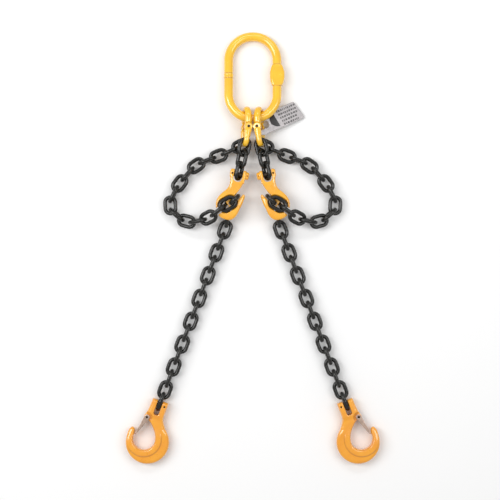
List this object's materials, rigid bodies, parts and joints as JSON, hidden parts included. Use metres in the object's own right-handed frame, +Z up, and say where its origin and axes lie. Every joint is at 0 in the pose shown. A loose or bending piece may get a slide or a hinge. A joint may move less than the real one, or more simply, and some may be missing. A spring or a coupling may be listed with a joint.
{
  "type": "two leg chain sling",
  "caption": "Chain sling with an oblong master link, hinged coupling links, shortening hooks that hold a loop of slack chain, and clevis sling hooks with latches.",
  "frame": {"origin": "middle of the footprint, on the surface that the sling lies on", "axes": "+Y towards the master link, +X across the legs, +Z up from the surface"},
  "size_m": [0.5002, 0.8494, 0.0532],
  "materials": {
    "yellow_coat": "glossy yellow powder coat on forged steel",
    "amber_coat": "satin amber powder coat on forged steel",
    "black_chain": "black lacquered alloy chain, semi-gloss",
    "steel": "zinc plated steel",
    "tag_plate": "embossed blank metal tag"
  },
  "bodies": {
    "master_link": {"master_link": "yellow_coat"},
    "id_tag": {"id_tag": "tag_plate"},
    "left_coupling_upper": {"left_coupling_upper_half": "yellow_coat", "left_coupling_load_pin": "steel", "left_coupling_bush": "steel"},
    "left_coupling_lower": {"left_coupling_lower_half": "yellow_coat"},
    "left_short_link_1": {"left_short_link_1": "black_chain"},
    "left_short_link_2": {"left_short_link_2": "black_chain"},
    "left_short_link_3": {"left_short_link_3": "black_chain"},
    "left_grab_hook": {"left_grab_hook": "amber_coat", "left_grab_hook_load_pin": "steel", "left_grab_hook_keeper_pin": "steel", "left_held_links": "black_chain"},
    "left_loop_chain_1": {"left_loop_chain_1": "black_chain"},
    "left_loop_chain_2": {"left_loop_chain_2": "black_chain"},
    "left_loop_chain_3": {"left_loop_chain_3": "black_chain"},
    "left_loop_chain_4": {"left_loop_chain_4": "black_chain"},
    "left_loop_chain_5": {"left_loop_chain_5": "black_chain"},
    "left_leg_chain_1": {"left_leg_chain_1": "black_chain"},
    "left_leg_chain_2": {"left_leg_chain_2": "black_chain"},
    "left_leg_chain_3": {"left_leg_chain_3": "black_chain"},
    "left_leg_chain_4": {"left_leg_chain_4": "black_chain"},
    "left_leg_chain_5": {"left_leg_chain_5": "black_chain"},
    "left_leg_chain_6": {"left_leg_chain_6": "black_chain"},
    "left_sling_hook": {"left_sling_hook": "amber_coat", "left_sling_hook_load_pin": "steel", "left_sling_hook_keeper_pin": "steel", "left_latch_pin": "steel", "left_latch_spring": "steel"},
    "left_latch": {"left_latch": "steel"},
    "right_coupling_upper": {"right_coupling_upper_half": "yellow_coat", "right_coupling_load_pin": "steel", "right_coupling_bush": "steel"},
    "right_coupling_lower": {"right_coupling_lower_half": "yellow_coat"},
    "right_short_link_1": {"right_short_link_1": "black_chain"},
    "right_short_link_2": {"right_short_link_2": "black_chain"},
    "right_short_link_3": {"right_short_link_3": "black_chain"},
    "right_grab_hook": {"right_grab_hook": "amber_coat", "right_grab_hook_load_pin": "steel", "right_grab_hook_keeper_pin": "steel", "right_held_links": "black_chain"},
    "right_loop_chain_1": {"right_loop_chain_1": "black_chain"},
    "right_loop_chain_2": {"right_loop_chain_2": "black_chain"},
    "right_loop_chain_3": {"right_loop_chain_3": "black_chain"},
    "right_loop_chain_4": {"right_loop_chain_4": "black_chain"},
    "right_loop_chain_5": {"right_loop_chain_5": "black_chain"},
    "right_leg_chain_1": {"right_leg_chain_1": "black_chain"},
    "right_leg_chain_2": {"right_leg_chain_2": "black_chain"},
    "right_leg_chain_3": {"right_leg_chain_3": "black_chain"},
    "right_leg_chain_4": {"right_leg_chain_4": "black_chain"},
    "right_leg_chain_5": {"right_leg_chain_5": "black_chain"},
    "right_leg_chain_6": {"right_leg_chain_6": "black_chain"},
    "right_sling_hook": {"right_sling_hook": "amber_coat", "right_sling_hook_load_pin": "steel", "right_sling_hook_keeper_pin": "steel", "right_latch_pin": "steel", "right_latch_spring": "steel"},
    "right_latch": {"right_latch": "steel"}
  },
  "joints": [
    {"name": "left_coupling_lift", "type": "hinge", "parent": "master_link", "child": "left_coupling_upper", "pos_m": [0, 0.25254, 0.02494], "axis": [-1, 0, 0], "range_deg": [0, 75]},
    {"name": "left_coupling_pivot", "type": "hinge", "parent": "left_coupling_upper", "child": "left_coupling_lower", "pos_m": [-0.012, 0.23624, 0.02494], "axis": [-0.2079, 0, -0.9781], "range_deg": [0, 25]},
    {"name": "left_short_chain_swing", "type": "hinge", "parent": "left_coupling_lower", "child": "left_short_link_1", "pos_m": [-0.01667, 0.20227, 0.02594], "axis": [-0.2079, 0, -0.9781], "range_deg": [0, 20]},
    {"name": "left_loop_chain_swing", "type": "hinge", "parent": "left_coupling_lower", "child": "left_loop_chain_1", "pos_m": [-0.01667, 0.20227, 0.02594], "axis": [-0.2079, 0, -0.9781], "range_deg": [-0.05, 20.05]},
    {"name": "left_short_link_2_bend", "type": "hinge", "parent": "left_short_link_1", "child": "left_short_link_2", "pos_m": [-0.01913, 0.18452, 0.0321], "axis": [0, 0, -1], "range_deg": [-4, 4]},
    {"name": "left_short_link_3_bend", "type": "hinge", "parent": "left_short_link_2", "child": "left_short_link_3", "pos_m": [-0.02402, 0.16153, 0.0321], "axis": [0, 0, -1], "range_deg": [-5.44, 5.44]},
    {"name": "left_grab_hook_tilt", "type": "hinge", "parent": "left_short_link_3", "child": "left_grab_hook", "pos_m": [-0.028, 0.1428, 0.0321], "axis": [-0.9781, 0.2079, 0], "range_deg": [0, 0.8]},
    {"name": "left_loop_chain_2_bend", "type": "hinge", "parent": "left_loop_chain_1", "child": "left_loop_chain_2", "pos_m": [-0.05998, 0.1829, 0.01515], "axis": [0, 0, -1], "range_deg": [-4.5, 4.5]},
    {"name": "left_loop_chain_3_bend", "type": "hinge", "parent": "left_loop_chain_2", "child": "left_loop_chain_3", "pos_m": [-0.1391, 0.13242, 0.01434], "axis": [0, 0, -1], "range_deg": [-8, 8]},
    {"name": "left_loop_chain_4_bend", "type": "hinge", "parent": "left_loop_chain_3", "child": "left_loop_chain_4", "pos_m": [-0.16181, 0.0751, 0.01435], "axis": [0, 0, -1], "range_deg": [-6.2, 6.2]},
    {"name": "left_loop_chain_5_bend", "type": "hinge", "parent": "left_loop_chain_4", "child": "left_loop_chain_5", "pos_m": [-0.09338, 0.05527, 0.02948], "axis": [0, 0, -1], "range_deg": [-0.68, 0.68]},
    {"name": "left_leg_chain_1_bend", "type": "hinge", "parent": "left_grab_hook", "child": "left_leg_chain_1", "pos_m": [-0.04772, 0.0739, 0.01921], "axis": [0, 0, -1], "range_deg": [-3.5, 3.5]},
    {"name": "left_leg_chain_2_bend", "type": "hinge", "parent": "left_leg_chain_1", "child": "left_leg_chain_2", "pos_m": [-0.06899, -0.00278, 0.01434], "axis": [0, 0, 1], "range_deg": [-30, 30]},
    {"name": "left_leg_chain_3_bend", "type": "hinge", "parent": "left_leg_chain_2", "child": "left_leg_chain_3", "pos_m": [-0.09126, -0.06235, 0.01434], "axis": [0, 0, -1], "range_deg": [-30, 30]},
    {"name": "left_leg_chain_4_bend", "type": "hinge", "parent": "left_leg_chain_3", "child": "left_leg_chain_4", "pos_m": [-0.11941, -0.13766, 0.01434], "axis": [0, 0, 1], "range_deg": [-30, 30]},
    {"name": "left_leg_chain_5_bend", "type": "hinge", "parent": "left_leg_chain_4", "child": "left_leg_chain_5", "pos_m": [-0.14169, -0.19723, 0.01434], "axis": [0, 0, -1], "range_deg": [-30, 30]},
    {"name": "left_leg_chain_6_bend", "type": "hinge", "parent": "left_leg_chain_5", "child": "left_leg_chain_6", "pos_m": [-0.16984, -0.27254, 0.01434], "axis": [0, 0, 1], "range_deg": [-30, 30]},
    {"name": "left_sling_hook_lift", "type": "hinge", "parent": "left_leg_chain_6", "child": "left_sling_hook", "pos_m": [-0.1834, -0.30879, 0.01434], "axis": [-0.9367, 0.3502, 0], "range_deg": [0, 85]},
    {"name": "left_latch_open", "type": "hinge", "parent": "left_sling_hook", "child": "left_latch", "pos_m": [-0.20784, -0.33275, 0.01434], "axis": [0, 0, 1], "range_deg": [0, 34], "stiffness_Nm_per_rad": 0.05, "springref_deg": -22.92},
    {"name": "right_coupling_lift", "type": "hinge", "parent": "master_link", "child": "right_coupling_upper", "pos_m": [0, 0.25254, 0.02494], "axis": [-1, 0, 0], "range_deg": [0, 75]},
    {"name": "right_coupling_pivot", "type": "hinge", "parent": "right_coupling_upper", "child": "right_coupling_lower", "pos_m": [0.012, 0.23624, 0.02494], "axis": [-0.2079, 0, 0.9781], "range_deg": [0, 25]},
    {"name": "right_short_chain_swing", "type": "hinge", "parent": "right_coupling_lower", "child": "right_short_link_1", "pos_m": [0.01667, 0.20227, 0.02594], "axis": [-0.2079, 0, 0.9781], "range_deg": [0, 20]},
    {"name": "right_loop_chain_swing", "type": "hinge", "parent": "right_coupling_lower", "child": "right_loop_chain_1", "pos_m": [0.01667, 0.20227, 0.02594], "axis": [-0.2079, 0, 0.9781], "range_deg": [-0.05, 20.05]},
    {"name": "right_short_link_2_bend", "type": "hinge", "parent": "right_short_link_1", "child": "right_short_link_2", "pos_m": [0.01913, 0.18452, 0.0321], "axis": [0, 0, 1], "range_deg": [-4, 4]},
    {"name": "right_short_link_3_bend", "type": "hinge", "parent": "right_short_link_2", "child": "right_short_link_3", "pos_m": [0.02402, 0.16153, 0.0321], "axis": [0, 0, 1], "range_deg": [-5.44, 5.44]},
    {"name": "right_grab_hook_tilt", "type": "hinge", "parent": "right_short_link_3", "child": "right_grab_hook", "pos_m": [0.028, 0.1428, 0.0321], "axis": [-0.9781, -0.2079, 0], "range_deg": [0, 0.8]},
    {"name": "right_loop_chain_2_bend", "type": "hinge", "parent": "right_loop_chain_1", "child": "right_loop_chain_2", "pos_m": [0.05998, 0.1829, 0.01515], "axis": [0, 0, 1], "range_deg": [-4.5, 4.5]},
    {"name": "right_loop_chain_3_bend", "type": "hinge", "parent": "right_loop_chain_2", "child": "right_loop_chain_3", "pos_m": [0.1391, 0.13242, 0.01434], "axis": [0, 0, 1], "range_deg": [-8, 8]},
    {"name": "right_loop_chain_4_bend", "type": "hinge", "parent": "right_loop_chain_3", "child": "right_loop_chain_4", "pos_m": [0.16181, 0.0751, 0.01435], "axis": [0, 0, 1], "range_deg": [-6.2, 6.2]},
    {"name": "right_loop_chain_5_bend", "type": "hinge", "parent": "right_loop_chain_4", "child": "right_loop_chain_5", "pos_m": [0.09338, 0.05527, 0.02948], "axis": [0, 0, 1], "range_deg": [-0.68, 0.68]},
    {"name": "right_leg_chain_1_bend", "type": "hinge", "parent": "right_grab_hook", "child": "right_leg_chain_1", "pos_m": [0.04772, 0.0739, 0.01921], "axis": [0, 0, 1], "range_deg": [-3.5, 3.5]},
    {"name": "right_leg_chain_2_bend", "type": "hinge", "parent": "right_leg_chain_1", "child": "right_leg_chain_2", "pos_m": [0.06899, -0.00278, 0.01434], "axis": [0, 0, -1], "range_deg": [-30, 30]},
    {"name": "right_leg_chain_3_bend", "type": "hinge", "parent": "right_leg_chain_2", "child": "right_leg_chain_3", "pos_m": [0.09126, -0.06235, 0.01434], "axis": [0, 0, 1], "range_deg": [-30, 30]},
    {"name": "right_leg_chain_4_bend", "type": "hinge", "parent": "right_leg_chain_3", "child": "right_leg_chain_4", "pos_m": [0.11941, -0.13766, 0.01434], "axis": [0, 0, -1], "range_deg": [-30, 30]},
    {"name": "right_leg_chain_5_bend", "type": "hinge", "parent": "right_leg_chain_4", "child": "right_leg_chain_5", "pos_m": [0.14169, -0.19723, 0.01434], "axis": [0, 0, 1], "range_deg": [-30, 30]},
    {"name": "right_leg_chain_6_bend", "type": "hinge", "parent": "right_leg_chain_5", "child": "right_leg_chain_6", "pos_m": [0.16984, -0.27254, 0.01434], "axis": [0, 0, -1], "range_deg": [-30, 30]},
    {"name": "right_sling_hook_lift", "type": "hinge", "parent": "right_leg_chain_6", "child": "right_sling_hook", "pos_m": [0.1834, -0.30879, 0.01434], "axis": [-0.9367, -0.3502, 0], "range_deg": [0, 85]},
    {"name": "right_latch_open", "type": "hinge", "parent": "right_sling_hook", "child": "right_latch", "pos_m": [0.20784, -0.33275, 0.01434], "axis": [0, 0, -1], "range_deg": [0, 34], "stiffness_Nm_per_rad": 0.05, "springref_deg": -22.92},
    {"name": "tag_swing", "type": "hinge", "parent": "right_coupling_upper", "child": "id_tag", "pos_m": [0.012, 0.23624, 0.01774], "axis": [0, 0, 1], "range_deg": [-6, 6]}
  ],
  "couplings": [
    {"joint": "left_loop_chain_swing", "follows": "left_short_chain_swing", "ratio": 1},
    {"joint": "left_short_link_3_bend", "follows": "left_short_link_2_bend", "ratio": -1.3341},
    {"joint": "left_loop_chain_2_bend", "follows": "left_loop_chain_3_bend", "ratio": -0.5501},
    {"joint": "left_loop_chain_4_bend", "follows": "left_loop_chain_3_bend", "ratio": -0.7622},
    {"joint": "left_loop_chain_5_bend", "follows": "left_short_link_2_bend", "ratio": 0.1442},
    {"joint": "right_loop_chain_swing", "follows": "right_short_chain_swing", "ratio": 1},
    {"joint": "right_short_link_3_bend", "follows": "right_short_link_2_bend", "ratio": -1.3341},
    {"joint": "right_loop_chain_2_bend", "follows": "right_loop_chain_3_bend", "ratio": -0.5501},
    {"joint": "right_loop_chain_4_bend", "follows": "right_loop_chain_3_bend", "ratio": -0.7622},
    {"joint": "right_loop_chain_5_bend", "follows": "right_short_link_2_bend", "ratio": 0.1442}
  ]
}
